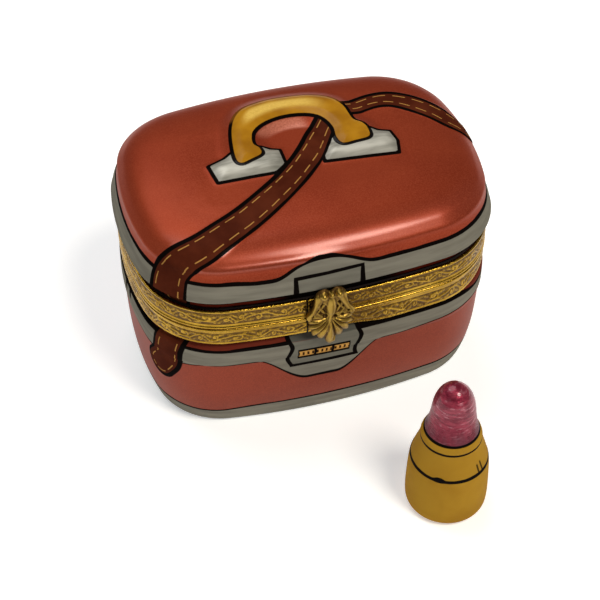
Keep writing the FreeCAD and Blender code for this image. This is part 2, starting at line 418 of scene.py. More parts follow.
# A hollow porcelain shell. A grid makes its closed end, and its border is extruded ring by ring
# down the outside, round the rim and back up the inside, where the last ring closes on itself.
def shellFromGrid(segments, rings, crown):
    across = 2 * segments[0] + segments[1] + segments[1] % 2
    deep = 2 * segments[2] + segments[1]
    deselect()
    startSize = 40 * mm  # any size will do, since every point is placed below
    bpy.ops.mesh.primitive_grid_add(x_subdivisions=across, y_subdivisions=deep, size=startSize)
    shell = bpy.context.object
    gridCount = len(shell.data.vertices)
    bpy.ops.object.mode_set(mode="EDIT")
    bpy.ops.mesh.select_mode(type="EDGE")
    bpy.ops.mesh.select_all(action="DESELECT")
    bpy.ops.mesh.select_non_manifold(extend=False)
    for ring in rings[1:]:
        bpy.ops.mesh.extrude_region_move()
    bpy.ops.object.mode_set(mode="OBJECT")

    perRing = 2 * (across + deep)
    co = np.zeros((len(shell.data.vertices), 3))
    ringOf = np.zeros(len(co), int)
    stationOf = np.full(len(co), -1)
    column = np.arange(gridCount) % (across + 1)
    row = np.arange(gridCount) // (across + 1)
    # stations run anticlockwise from the front's middle, as loopPoints does
    middle = across // 2
    front, right = row == 0, column == across
    back, left = row == deep, column == 0
    stationOf[:gridCount][left] = perRing - middle - row[left]
    stationOf[:gridCount][back] = across - middle + deep + (across - column[back])
    stationOf[:gridCount][right] = across - middle + row[right]
    stationOf[:gridCount][front] = (column[front] - middle) % perRing
    stationOf[:gridCount][front & left] = perRing - middle
    ringOf[gridCount:] = 1 + (np.arange(len(co) - gridCount) // perRing)
    edges = edgePairs(shell)
    joins = edges[(ringOf[edges[:, 1]] == ringOf[edges[:, 0]] + 1)]
    for level in range(1, len(rings)):
        pairs = joins[ringOf[joins[:, 1]] == level]
        stationOf[pairs[:, 1]] = stationOf[pairs[:, 0]]

    loops = [loopPoints(f, s, segments) for f, s, z in rings]
    for level, (f, s, z) in enumerate(rings):
        chosen = (ringOf == level) & (stationOf >= 0)
        co[chosen, :2] = loops[level][stationOf[chosen]]
        co[chosen, 2] = z
    # the grid's inside is a patch stretched between its four edges
    border = loops[0]
    u, v = column / across, row / deep
    frontLine = border[(np.arange(across + 1) - middle) % perRing]
    rightLine = border[across - middle + np.arange(deep + 1)]
    backLine = border[(across - middle + deep + across - np.arange(across + 1)) % perRing]
    leftLine = border[(perRing - middle - np.arange(deep + 1)) % perRing]
    flat = (
        frontLine[column] * (1 - v)[:, None] + backLine[column] * v[:, None]
        + leftLine[row] * (1 - u)[:, None] + rightLine[row] * u[:, None]
        - frontLine[0] * ((1 - u) * (1 - v))[:, None] - frontLine[-1] * (u * (1 - v))[:, None]
        - backLine[0] * ((1 - u) * v)[:, None] - backLine[-1] * (u * v)[:, None]
    )
    co[:gridCount, :2] = flat
    co[:gridCount, 2] = rings[0][2] + crown * (4 * u * (1 - u)) * (4 * v * (1 - v))
    setCoords(shell, co)
    writeAttribute(shell, "ring", ringOf)
    return shell


# rings no further apart than the spacing, through levels of (front inset, side inset, height)
def ringsThrough(levels, spacing):
    line = curveThrough(levels, perSpan=12)
    steps = np.linalg.norm(np.diff(line, axis=0), axis=1)
    lengths = np.concatenate([[0], np.cumsum(steps)])
    count = max(2, int(math.ceil(lengths[-1] / spacing)) + 1)
    at = np.linspace(0, lengths[-1], count)
    return [tuple(np.interp(a, lengths, line[:, k]) for k in range(3)) for a in at]


def ringNumbers(shell):
    ringOf = np.zeros(len(shell.data.vertices), np.float32)
    shell.data.attributes["ring"].data.foreach_get("value", ringOf)
    return ringOf


# the second material goes on every face from that ring inwards
def glazeInside(shell, firstRing):
    inside = ringNumbers(shell) >= firstRing - 0.5
    for polygon in shell.data.polygons:
        if all(inside[i] for i in polygon.vertices):
            polygon.material_index = 1


# the rim of either shell, under its bezel's ledge, with its insets from the neck to the bore
rimShape = {
    "insets": (1.45, 1.6, 3.4, 3.5),
    "neckEase": 0.1,
    "boreEase": 0.15,
    "ledge": 0.5,       # how far the rim stands back from the bezel's edge
    "glazeFrom": 3,     # the ring after the neck where the white glaze starts
}


def rimRings(rim, inwards):
    neck, flatStart, flatEnd, bore = rimShape["insets"]
    return [
        (neck, neck, rim + rimShape["neckEase"] * inwards), (flatStart, flatStart, rim),
        (flatEnd, flatEnd, rim), (bore, bore, rim + rimShape["boreEase"] * inwards),
    ]


# how far the painted strap stands up, eased in over its edges
def strapRise(edge, height):
    return smooth(edge, -0.35, 0.45) * height


# levels are (front inset, side inset, height); the handle and its plates are plan outlines
lidShape = {
    "segments": (48, 56, 28),
    "crown": 0.22,
    "spacing": 0.36,
    "outside": [
        (9.0, 9.0, 37.5), (7.0, 7.0, 37.32), (5.2, 5.2, 37.0), (3.7, 3.7, 36.5), (2.5, 2.6, 35.85),
        (1.75, 1.95, 35.2), (1.3, 1.6, 34.78), (1.04, 1.36, 34.52), (0.94, 1.26, 34.36),
    ],
    "wall": [
        (0.94, 1.26, 34.36), (0.97, 1.3, 34.12), (0.9, 1.24, 33.4), (0.55, 0.92, 32.3), (0.28, 0.5, 31.3),
        (0.1, 0.2, 30.2), (0.0, 0.0, 29.5),
    ],
    "lip": [(0.0, 0.0, 29.5), (0.05, 0.05, 29.22), (0.3, 0.3, 29.02), (0.8, 0.8, 28.9), (1.45, 1.45, 28.6)],
    "handleOutline": [
        (-9.9, 0.4), (-9.3, 5.0), (-8.1, 8.8), (-6.0, 11.5), (-2.8, 12.6), (1.0, 12.7), (5.2, 12.0),
        (8.0, 10.4), (9.3, 8.0), (9.6, 5.7), (9.9, 4.2), (10.9, 3.1), (11.3, 1.6), (10.9, -0.35),
        (8.6, -0.75), (6.5, -0.8), (5.9, 0.8), (6.1, 3.2), (5.5, 5.5), (4.2, 7.1), (2.0, 7.9), (-1.0, 8.0),
        (-3.7, 7.2), (-5.5, 5.8), (-6.2, 4.2), (-6.3, 2.8), (-5.7, 1.7), (-5.8, 0.3), (-7.5, -0.5),
        (-9.3, -1.0),
    ],
    "leftPlate": [
        (-14.0, 0.6), (-13.5, -3.4), (-4.6, -3.6), (-2.8, -2.2), (-2.8, 1.2), (-5.3, 2.2), (-10.4, 1.9),
    ],
    "rightPlate": [
        (3.0, -3.2), (14.2, -4.3), (14.9, -1.6), (14.5, 0.8), (11.8, 1.9), (6.2, 1.6), (3.4, 0.4),
    ],
    "inside": [
        (3.5, 3.5, 27.0), (3.6, 3.7, 31.0), (3.9, 4.1, 33.0), (4.6, 4.8, 34.1), (6.0, 6.2, 34.55),
        (9.0, 9.0, 34.6), (14.0, 14.0, 34.6), (20.7, 20.7, 34.6),
    ],
    "neckTop": 27.0,
    "lipSpacing": 0.2,
    "handleHeight": 1.3,
    "handleEase": (-2.5, 1.7),  # from outside the outline to inside it
    "plateHeight": 0.8,
    "plateEase": (-0.9, 2.3),
    "strapHeight": 0.16,
    "mouldedFrom": 28.0,    # relief is only above this height, and the handle's only above the next
    "topFrom": 36.0,
    "shoulderRise": 0.26,   # the squarer shoulder along the left of the front
    "shoulderHeight": 34.75,
    "shoulderWidth": 0.55,
}

# the painted strap's middle line on the lid, (x, y, half width), from the front left corner
# over the lid to the right side; the height is the lid's own
strapOverLid = [
    (-20.6, -15.2, 2.62), (-18.7, -14.9, 2.6), (-16.6, -14.1, 2.55), (-11.7, -11.75, 2.5),
    (-7.3, -8.8, 2.45), (-3.5, -5.8, 2.35), (-0.7, -3.1, 2.3), (1.8, -0.2, 2.3), (4.0, 3.0, 2.15),
    (6.6, 5.9, 1.95), (9.4, 7.3, 1.8), (12.0, 8.2, 1.8), (14.3, 8.7, 1.85), (16.4, 8.6, 1.95),
    (18.2, 7.9, 2.0), (20.4, 6.4, 2.1), (22.9, 4.1, 2.15), (25.0, 1.8, 2.2),
]


# height of the lid's outside at a plan point, before relief
def lidHeight(x, y, rings, segments):
    best = rings[0][2]
    for f, s, z in rings:
        loop = loopPoints(f, s, segments)
        if outlineDistance(np.array([x]), np.array([y]), loop)[0] > 0:
            best = z
        else:
            break
    return best


# where it hangs down the walls, (x, y, height, half width)
strapDown = {
    "lidLeft": [(-24.3, -15.1, 28.2, 3.15), (-24.2, -14.95, 30.5, 3.1), (-23.75, -14.7, 32.2, 3.0),
                (-23.1, -14.75, 33.5, 2.8), (-22.1, -15.05, 34.9, 2.65)],
    "lidRight": [(26.9, 0.6, 34.6, 2.2), (27.7, 0.5, 32.4, 2.25), (28.3, 0.5, 30.2, 2.25),
                 (28.4, 0.5, 28.2, 2.25)],
    "baseLeft": [(-23.7, -14.7, 21.2, 2.6), (-24.2, -14.3, 19.2, 2.65), (-24.7, -14.0, 17.6, 2.7),
                 (-24.9, -13.8, 16.0, 2.75), (-25.1, -13.2, 14.0, 2.8), (-25.75, -11.9, 11.9, 2.85)],
    "baseRight": [(28.0, 0.5, 21.2, 2.2), (27.9, 0.5, 17.0, 2.2), (27.7, 0.5, 11.9, 2.2)],
}


def lidStrapPath(rings, segments):
    top = [(x, y, lidHeight(x, y, rings, segments), w) for x, y, w in strapOverLid]
    return curveThrough(strapDown["lidLeft"] + top + strapDown["lidRight"])


# pushes the shell out along its normals and records where each painted part lies
def mouldLid(shell, rings):
    co, no = coords(shell), normals(shell)
    outer = (no[:, 2] > -0.2) & (co[:, 2] > lidShape["mouldedFrom"])
    handle = outlineDistance(co[:, 0], co[:, 1], curveThrough(lidShape["handleOutline"], closed=True))
    left = outlineDistance(co[:, 0], co[:, 1], np.array(lidShape["leftPlate"]))
    right = outlineDistance(co[:, 0], co[:, 1], np.array(lidShape["rightPlate"]))
    plate = np.minimum(left, right)
    line = lidStrapPath(rings, lidShape["segments"])
    across, along, half = strapPlace(co, no, line[:, :3], line[:, 3])
    edge = half - abs(across)
    onTop = outer & (co[:, 2] > lidShape["topFrom"])
    handleRise = smooth(-handle, *lidShape["handleEase"]) * lidShape["handleHeight"]
    plateRise = smooth(-plate, *lidShape["plateEase"]) * lidShape["plateHeight"]
    rise = np.maximum(handleRise, plateRise) * onTop
    rise = rise + strapRise(edge, lidShape["strapHeight"]) * outer * (1 - smooth(-handle, -0.6, 0.6))
    frontLeft = (1 - smooth(co[:, 0], -8.0, 3.0)) * (1 - smooth(co[:, 1], -15.5, -13.0)) * outer
    fromShoulder = (co[:, 2] - lidShape["shoulderHeight"]) / lidShape["shoulderWidth"]
    rise = rise + lidShape["shoulderRise"] * frontLeft * np.exp(-fromShoulder ** 2)
    setCoords(shell, co + no * rise[:, None])
    far = 50.0  # a gap that no paint reaches
    writeAttribute(shell, "handleGap", np.where(onTop, handle, far))
    writeAttribute(shell, "plateGap", np.where(onTop, plate, far))
    writeAttribute(shell, "strapEdge", edge)
    writeAttribute(shell, "strapAcross", across)
    writeAttribute(shell, "strapAlong", along)


def makeLid(materials):
    top = ringsThrough(lidShape["outside"], lidShape["spacing"])
    wall = ringsThrough(lidShape["wall"], lidShape["spacing"])
    lip = ringsThrough(lidShape["lip"], lidShape["lipSpacing"])
    neck = rimShape["insets"][0]
    inside = [(neck, neck, lidShape["neckTop"])]
    inside += rimRings(upperLow[2] + rimShape["ledge"], 1) + lidShape["inside"]
    rings = top + wall[1:] + lip[1:] + inside
    shell = shellFromGrid(lidShape["segments"], rings, lidShape["crown"])
    editClean(shell)
    mouldLid(shell, top + wall[1:])
    glazeInside(shell, len(rings) - len(inside) + rimShape["glazeFrom"])
    print("lid", len(shell.data.vertices))
    return finishPiece(shell, "lidPorcelain", "lid", "painted_porcelain", materials, "lid_shell")


baseShape = {
    "segments": (44, 52, 26),
    "spacing": 0.42,
    "bandSpacing": 0.3,
    "foot": [
        (9.0, 9.0, 0.4), (6.3, 5.8, 0.4), (5.8, 5.3, 0.3), (5.6, 5.0, 0.02), (5.4, 4.8, 0.0),
        (3.7, 2.9, 0.0),
    ],
    "wall": [
        (3.3, 2.5, 0.12), (3.0, 2.1, 0.6), (2.7, 1.8, 1.5), (2.25, 1.35, 3.4), (1.65, 0.98, 6.2),
        (1.25, 0.8, 9.0), (0.98, 0.7, 12.2), (0.8, 0.62, 15.0),
    ],
    "band": [
        (0.74, 0.56, 15.25), (0.5, 0.38, 15.55), (0.42, 0.36, 17.0), (0.4, 0.4, 18.6), (0.5, 0.5, 18.95),
        (0.9, 0.9, 19.35), (1.3, 1.3, 19.85), (1.45, 1.45, 20.4),
    ],
    "inside": [
        (3.5, 3.5, 19.5), (3.6, 3.6, 15.5), (3.9, 3.7, 10.5), (4.5, 4.0, 7.0), (5.2, 4.6, 4.9),
        (6.2, 5.5, 3.7), (7.6, 6.8, 3.25), (9.0, 9.0, 3.2), (14.0, 14.0, 3.2), (20.7, 20.7, 3.2),
    ],
    "strapHeight": 0.14,
    "endStitchRadius": 1.7,
}


def makeBase(materials):
    wall = ringsThrough(baseShape["wall"], baseShape["spacing"])
    band = ringsThrough(baseShape["band"], baseShape["bandSpacing"])
    inside = rimRings(lowerHigh[2] - rimShape["ledge"], -1) + baseShape["inside"]
    rings = baseShape["foot"] + wall + band + inside
    outerRings = len(rings) - len(inside)
    shell = shellFromGrid(baseShape["segments"], rings, 0.0)
    editClean(shell)
    co, no = coords(shell), normals(shell)
    line, other = curveThrough(strapDown["baseLeft"]), curveThrough(strapDown["baseRight"])
    onLeft = strapPlace(co, no, line[:, :3], line[:, 3])
    onRight = strapPlace(co, no, other[:, :3], other[:, 3])
    right = (onRight[2] - abs(onRight[0])) > (onLeft[2] - abs(onLeft[0]))
    across, along, half = (np.where(right, b, a) for a, b in zip(onLeft, onRight))
    edge = half - abs(across)
    # the stitches run on round the strap's rounded end
    end, ahead = line[-1, :3], line[-1, :3] - line[-2, :3]
    over = (co - end) @ (ahead / np.linalg.norm(ahead))
    bend = np.arcsin(np.clip(over / np.maximum(abs(across), 0.01), 0, 1))
    along = along + np.where(over > 0, bend * baseShape["endStitchRadius"], 0)
    outer = ringNumbers(shell) < outerRings
    rise = strapRise(edge, baseShape["strapHeight"]) * outer
    setCoords(shell, co + no * rise[:, None])
    writeAttribute(shell, "strapEdge", np.where(outer, edge, -50))  # no strap on the inside
    writeAttribute(shell, "strapAcross", across)
    writeAttribute(shell, "strapAlong", along)
    glazeInside(shell, outerRings + rimShape["glazeFrom"])
    print("base", len(shell.data.vertices))
    return finishPiece(shell, "basePorcelain", "base", "painted_porcelain", materials, "base_shell")


bezelShape = {
    "segments": (122, 112, 88),
    "gapX": -4.75,
    "gap": 0.14,
    "face": 0.62,     # inset of the relief's ground
    "inner": 1.05,
    "ledge": 3.3,
    "thick": 0.5,
    "relief": 0.2,
    "pitch": 5.6,
    "sag": 0.85,      # how far the lower strip's edge dips right of the clasp
    "faceRows": 30,
    "edgeBead": {"rise": 0.09, "at": 0.17, "width": 0.13},
    "innerBead": {"rise": 0.07, "at": 0.72, "width": 0.1},
    "seamRoll": {"rise": 0.2, "radius": 0.27},
    "nick": 0.035,
    "vineShift": 1.9,      # so that the two strips' vines don't match
    "vineFromMiddle": 0.26,
}


vineShape = {
    "wave": 0.5,
    "stem": 0.15,
    "scrollPitch": 0.5,
    "scrollEnds": (0.5, 0.72),
    "heart": 0.2,
    "leaves": [(-1.0, -0.42, 0.5), (1.0, -0.42, -0.5), (-0.75, 0.72, -0.35), (0.8, 0.7, 0.3)],
    "leafLength": 0.62,
    "leafWidth": 0.24,
    "ground": 0.34,
    "chasing": 0.12,
}


# the stamped ornament, as a height from 0 to 1: a running vine with a scroll in each bend,
# leaves off it and a chased ground. s runs along the strip and v across it
def vineRelief(s, v, shift):
    pitch = bezelShape["pitch"]
    s = s + shift + 0.5 * np.sin(0.61 * s + 1.7 * shift) + 0.12 * np.sin(3.1 * s)
    v = v + 0.1 * np.sin(1.9 * s + shift)
    phase = 2 * np.pi * s / pitch
    stem = np.exp(-((v - vineShape["wave"] * np.sin(phase)) / vineShape["stem"]) ** 2)
    bay = np.floor(2 * s / pitch)
    up = np.where(bay % 2 == 0, 1.0, -1.0)
    dx = s - (bay + 0.5) * pitch / 2
    dy = (v + up * 0.12) * up
    r = np.hypot(dx, dy)
    angle = np.arctan2(dy, dx)
    scroll = 0.5 + 0.5 * np.cos(angle - r * 2 * np.pi / vineShape["scrollPitch"])
    scroll = scroll * (1 - smooth(r, *vineShape["scrollEnds"]))
    heart = np.exp(-(r / vineShape["heart"]) ** 2)
    leaf = np.zeros_like(s)
    for lx, ly, turn in vineShape["leaves"]:
        ex = (dx - lx) * math.cos(turn) + (dy - ly) * math.sin(turn)
        ey = (dy - ly) * math.cos(turn) - (dx - lx) * math.sin(turn)
        body = np.clip(1 - (ex / vineShape["leafLength"]) ** 2 - (ey / vineShape["leafWidth"]) ** 2, 0, 1)
        veins = np.cos(ex * 22) * np.sign(ey + 1e-6)
        leaf = np.maximum(leaf, np.sqrt(body) * (0.72 + 0.28 * veins))
    weave = np.sin(9.3 * s + 3.1 * np.sin(1.7 * s + 4 * v)) * np.sin(13 * v + 2.2 * np.sin(2.9 * s))
    ground = vineShape["ground"] * (0.5 + 0.5 * weave)
    wear = 0.85 + 0.15 * np.sin(0.9 * s + 1.3 * np.sin(0.37 * s))
    chased = np.sin(31 * s + 4 * np.sin(5 * v)) * np.sin(23 * v + 3 * np.sin(2.3 * s))
    relief = np.maximum.reduce([stem, scroll, heart, leaf * 0.9, ground]) * wear
    return np.clip(relief + vineShape["chasing"] * chased, 0, 1)


# a bead's rise at a distance from the edge that it runs along
def beadAt(distance, bead):
    return bead["rise"] * math.exp(-((distance - bead["at"]) / bead["width"]) ** 2)


# One bezel: a grid whose columns run round the case and whose rows run round the strip's section.
# Rows are (height, inset, share of the relief). seamUp is true where the two bezels meet at its top.
def makeBezel(name, body, low, high, seamUp, node, material):
    segments = bezelShape["segments"]
    loopMiddle = loopPoints(bezelShape["face"], bezelShape["face"], segments)
    lengths, total = loopLengths(loopMiddle)
    start = np.argmin(abs(lengths - (bezelShape["gapX"] + bezelShape["gap"])))
    stations = (start + np.arange(len(lengths))) % len(lengths)
    run = (lengths[stations] - lengths[stations[0]]) % total
    keep = run < total - 1.5 * bezelShape["gap"]
    stations = stations[keep]

    def toSeam(z):
        return z if seamUp else low + high - z

    outer = []
    height = high - low
    roll = bezelShape["seamRoll"]
    for k in range(bezelShape["faceRows"] + 1):
        t = k / bezelShape["faceRows"]
        z = low + t * height
        fromEdge = t * height
        fromSeam = (1 - t) * height
        edgeBead = beadAt(fromEdge, bezelShape["edgeBead"])
        seamRoll = roll["rise"] * math.sqrt(max(0, 1 - ((fromSeam - roll["radius"]) / roll["radius"]) ** 2))
        innerBead = beadAt(fromSeam, bezelShape["innerBead"])
        share = min(1, max(0, fromEdge - 0.32) / 0.15) * min(1, max(0, fromSeam - 0.85) / 0.15)
        outer.append((toSeam(z), bezelShape["face"] - edgeBead - seamRoll - innerBead, share))
    rest = [
        (high - 0.02, 0.8), (high, 1.1), (high, 2.2), (high, bezelShape["ledge"] - 0.1),
        (high - 0.1, bezelShape["ledge"]), (high - bezelShape["thick"], bezelShape["ledge"]),
        (high - bezelShape["thick"], 2.2), (high - bezelShape["thick"], bezelShape["inner"]),
        (low + 0.8, bezelShape["inner"]), (low, bezelShape["inner"]), (low, 0.85),
    ]
    rows = outer + [(toSeam(z), inset, 0.0) for z, inset in rest]
    rows.append(rows[0])
    columns = len(stations) + 2
    deselect()
    bpy.ops.mesh.primitive_grid_add(x_subdivisions=columns - 1, y_subdivisions=len(rows) - 1, size=20 * mm)
    strip = bpy.context.object
    co = np.zeros((len(rows), columns, 3))
    relief = np.zeros((len(rows), columns))
    middle = (low + high) / 2 - bezelShape["vineFromMiddle"] * (1 if seamUp else -1)
    shift = 0.0 if seamUp else bezelShape["vineShift"]
    around = lengths[stations]
    nicks = bezelShape["nick"] * np.cos(around * 7.3 + 3 * np.sin(around * 1.3)) * np.cos(around * 0.9) ** 2
    for j, (z, inset, share) in enumerate(rows):
        loop = loopPoints(inset, inset, segments)[stations]
        ahead = loopPoints(inset + 1, inset + 1, segments)[stations]
        out = (loop - ahead) / np.linalg.norm(loop - ahead, axis=1)[:, None]
        carved = vineRelief(around, np.full(len(around), z - middle), shift) * share
        # the outer edge is nicked all along
        bead = bezelShape["edgeBead"]
        onEdge = beadAt(abs(z - (low if seamUp else high)), bead) / bead["rise"] * (inset < 1)
        loop = loop + out * (carved * bezelShape["relief"] + nicks * onEdge)[:, None]
        co[j, 1:-1, :2] = loop
        dip = smooth(around, 1.5, 8.0) * (1 - smooth(around, 19.0, 30.0)) * bezelShape["sag"]
        co[j, 1:-1, 2] = z - (dip * (high - z) / height if seamUp else 0)
        relief[j, 1:-1] = np.where(share > 0, carved, 0.75)
    # both ends close on a point inside the strip's section
    heart = [0.8, toSeam(high - bezelShape["thick"] / 2)]
    ends = loopPoints(heart[0], heart[0], segments)[stations]
    co[:, 0, :2], co[:, -1, :2] = ends[0], ends[-1]
    co[:, 0, 2] = co[:, -1, 2] = heart[1]
    setCoords(strip, co.reshape(-1, 3))
    writeAttribute(strip, "relief", relief.ravel())
    editClean(strip)
    print(name, len(strip.data.vertices))
    return finishPiece(strip, name, body, "gilt_brass", [material], node)


# the lipstick is a half section spun round its own axis; the side is (radius, height)
lipstickShape = {
    "side": [
        (0.0, 0.0), (3.4, 0.0), (4.7, 0.02), (5.3, 0.16), (5.78, 0.5), (6.03, 1.0), (6.12, 1.8),
        (6.14, 3.5), (6.06, 6.2), (5.93, 8.6), (5.8, 9.8), (5.64, 10.35), (5.36, 11.3), (4.98, 12.5),
        (4.68, 13.5), (4.52, 14.2), (4.52, 14.6), (4.47, 14.95), (4.28, 15.45), (4.08, 15.8),
        (3.96, 16.05), (3.86, 16.4), (3.6, 17.2), (3.42, 18.2), (3.27, 19.3), (3.12, 20.6), (2.9, 21.7),
        (2.52, 22.75), (1.97, 23.6), (1.27, 24.2), (0.6, 24.5), (0.0, 24.58),
    ],
    "steps": 144,
}


def makeLipstick(material):
    top = tubeHigh[2] / lipstickShape["side"][-1][1]
    side = curveThrough(lipstickShape["side"], perSpan=4)
    side[:, 0] = np.maximum(side[:, 0], 0)
    side[0, 0] = side[-1, 0] = 0
    side[:, 1] = np.maximum(side[:, 1], 0) * top
    deselect()
    bpy.ops.mesh.primitive_circle_add(vertices=3, radius=mm)
    stick = bpy.context.object
    bm = bmesh.new()
    points = [bm.verts.new(((tubeX + r) * mm, tubeY * mm, z * mm)) for r, z in side]
    for a, b in zip(points, points[1:]):
        bm.edges.new((a, b))
    bm.to_mesh(stick.data)
    bm.free()
    bpy.ops.object.mode_set(mode="EDIT")
    bpy.ops.mesh.select_all(action="SELECT")
    bpy.ops.mesh.spin(
        steps=lipstickShape["steps"], angle=2 * math.pi, center=(tubeX * mm, tubeY * mm, 0), axis=(0, 0, 1))
    bpy.ops.object.mode_set(mode="OBJECT")
    editClean(stick)
    print("lipstick", len(stick.data.vertices))
    return finishPiece(stick, "lipstickPorcelain", "lipstick", "lustre_porcelain", [material], "lipstick")


# the cast ornament is a disc of rings drawn to the shell's outline and pushed out in relief;
# the outline is its right half, as (distance from its middle line, height)
claspShape = {
    "outline": [
        (0.0, 29.1), (0.8, 29.6), (1.7, 29.35), (2.3, 28.6), (2.45, 27.4), (2.75, 26.2), (3.4, 25.3),
        (3.7, 24.6), (3.35, 23.9), (3.3, 23.2), (3.3, 22.4), (2.9, 21.7), (2.7, 20.9), (2.1, 20.35),
        (1.45, 19.9), (0.85, 19.6), (0.65, 18.9), (0.0, 18.45),
    ],
    "middle": 24.3,
    "spokes": 288,
    "rings": 54,
    "back": 0.05,
    "root": 24.0,         # where the flutes fan out from
    "flutePitch": 0.37,   # radians from one rib to the next
    "scallop": 0.07,
    "edge": 0.22,         # how far the rim stands out
    "least": 0.12,        # the thinnest that the cast front gets
    "wearReach": 0.2,     # how far round a point the casting is felt for hollows
}


# a rounded lump on an oval, 1 at its middle and 0 off it
def bumpAt(x, z, cx, cz, rx, rz, turn=0.0):
    ex = (x - cx) * math.cos(turn) + (z - cz) * math.sin(turn)
    ez = (z - cz) * math.cos(turn) - (x - cx) * math.sin(turn)
    return np.sqrt(np.clip(1 - (ex / rx) ** 2 - (ez / rz) ** 2, 0, 1))


# a rounded rib from one point to another
def ribAt(x, z, x0, z0, x1, z1, width):
    dx, dz = x1 - x0, z1 - z0
    t = np.clip(((x - x0) * dx + (z - z0) * dz) / (dx * dx + dz * dz), 0, 1)
    gap = np.hypot(x - x0 - t * dx, z - z0 - t * dz) / (width * (1 - 0.35 * t))
    return np.sqrt(np.clip(1 - gap ** 2, 0, 1))


# the flutes fan down and out from under the scrolls, 1 along a rib and 0 in a valley
def fluteAt(x, z):
    turn = np.arctan2(x, claspShape["root"] - z)
    flute = abs(np.cos(turn * np.pi / claspShape["flutePitch"])) ** 0.7
    return flute, smooth(-abs(turn), -2.1, -1.3)


# lifts a height to a rib or bump where it is present, and leaves the rest alone
def lifted(height, shape, low, gain):
    return np.where(shape > 0, np.maximum(height, low + gain * shape), height)


# how far the ornament stands out from its back at a point; share is 0 in its middle and 1 at its edge
def claspHeight(x, z, share):
    height = 0.34 + 0.5 * np.sqrt(np.clip(1 - share ** 2.2, 0, 1))
    flute, fanned = fluteAt(x, z)
    reach = np.hypot(x, claspShape["root"] - z)
    fan = fanned * smooth(reach, 0.2, 2.2)
    height = height + fan * (0.62 * flute - 0.1) * (0.55 + 0.45 * smooth(1 - share, 0.0, 0.3))
    # on each side a hollow, the outer scroll, two crossed tendrils and an eye
    for sign in (-1, 1):
        height = height - 0.55 * bumpAt(x, z, sign * 1.35, 26.0, 0.85, 1.4, sign * -0.35)
        height = lifted(height, ribAt(x, z, sign * 1.7, 28.2, sign * 3.3, 24.5, 0.8), 0.5, 0.55)
        height = lifted(height, ribAt(x, z, sign * 2.2, 26.9, sign * 0.9, 24.9, 0.36), 0.3, 0.4)
        height = lifted(height, ribAt(x, z, sign * 0.8, 26.8, sign * 2.1, 25.1, 0.3), 0.3, 0.4)
        height = height - 0.4 * bumpAt(x, z, sign * 2.75, 24.9, 0.22, 0.34)
    # the leaf and the rib down the middle, the pits beside them, the knob below and the beads above
    height = lifted(height, bumpAt(x, z, 0.1, 26.1, 0.8, 2.1), 0.5, 0.72)
    height = lifted(height, ribAt(x, z, 0.1, 24.6, -0.5, 21.4, 0.42), 0.6, 0.42)
    for depth, cx, cz, rx, rz in ((0.6, 0.55, 24.1, 0.46, 0.45), (0.55, -0.85, 24.5, 0.42, 0.42),
                                  (0.35, 1.75, 24.3, 0.3, 0.3)):
        height = height - depth * bumpAt(x, z, cx, cz, rx, rz)
    height = lifted(height, bumpAt(x, z, 0.25, 19.4, 0.8, 0.85, 0.3), 0.4, 0.65)
    for cx, cz, size in ((-1.15, 28.75, 0.6), (0.05, 28.75, 0.45), (1.2, 28.8, 0.6)):
        height = lifted(height, bumpAt(x, z, cx, cz, size, size), 0.75, 0.3 + size)
    return np.maximum(height, claspShape["least"])


def makeClasp(material):
    half = claspShape["outline"]
    whole = curveThrough(half + [(-x, z) for x, z in half[-2:0:-1]], closed=True, perSpan=10)
    centreZ = claspShape["middle"]
    angles = np.arctan2(whole[:, 0], -(whole[:, 1] - centreZ))
    reach = np.hypot(whole[:, 0], whole[:, 1] - centreZ)
    order = np.argsort(angles)
    spokes = np.linspace(-np.pi, np.pi, claspShape["spokes"], endpoint=False)
    radius = np.interp(spokes, angles[order], reach[order], period=2 * np.pi)
    deselect()
    bpy.ops.mesh.primitive_circle_add(vertices=claspShape["spokes"], radius=4 * mm)
    clasp = bpy.context.object
    count = claspShape["rings"]
    shares = [1 - k / count for k in range(count + 1)]
    bpy.ops.object.mode_set(mode="EDIT")
    bpy.ops.mesh.select_all(action="SELECT")
    for k in range(count + 3):
        bpy.ops.mesh.extrude_region_move()
    bpy.ops.object.mode_set(mode="OBJECT")
    total = len(clasp.data.vertices)
    n = claspShape["spokes"]
    spoke = np.zeros(total, int)
    spoke[:n] = np.arange(n)
    edges = edgePairs(clasp)
    ringOf = np.arange(total) // n
    for level in range(1, count + 4):
        pairs = edges[(ringOf[edges[:, 1]] == level) & (ringOf[edges[:, 0]] == level - 1)]
        spoke[pairs[:, 1]] = spoke[pairs[:, 0]]
    # the edge follows the flutes in scallops
    edgeX, edgeZ = np.sin(spokes) * radius, centreZ - np.cos(spokes) * radius
    flute, fanned = fluteAt(edgeX, edgeZ)
    radius = radius * (1 + claspShape["scallop"] * fanned * (flute - 0.7))
    # the first three rings are the back and its rim; the rest run in over the front
    share = np.array([0.0, 0.9, 1.0] + shares)[ringOf]
    x = np.sin(spokes[spoke]) * radius[spoke] * share
    z = centreZ - np.cos(spokes[spoke]) * radius[spoke] * share
    height = claspHeight(x, z, share)
    aside = claspShape["wearReach"]
    sides = ((aside, 0), (-aside, 0), (0, aside), (0, -aside))
    around = [claspHeight(x + dx, z + dz, share) for dx, dz in sides]
    hollow = height - sum(around) / 4
    height = height * smooth(1 - share, -0.08, 0.02) ** 0.5
    height = np.where(ringOf < 2, claspShape["back"], np.where(ringOf == 2, claspShape["edge"], height))
    setCoords(clasp, np.stack([x + lockX, claspHigh[1] - height, z], 1))
    writeAttribute(clasp, "relief", np.clip(0.42 + hollow * 5 + (height - 0.8) * 0.8, 0, 1))
    editClean(clasp)
    print("clasp", total)
    return finishPiece(clasp, "claspShell", "lid", "gilt_brass", [material], "clasp_ornament")


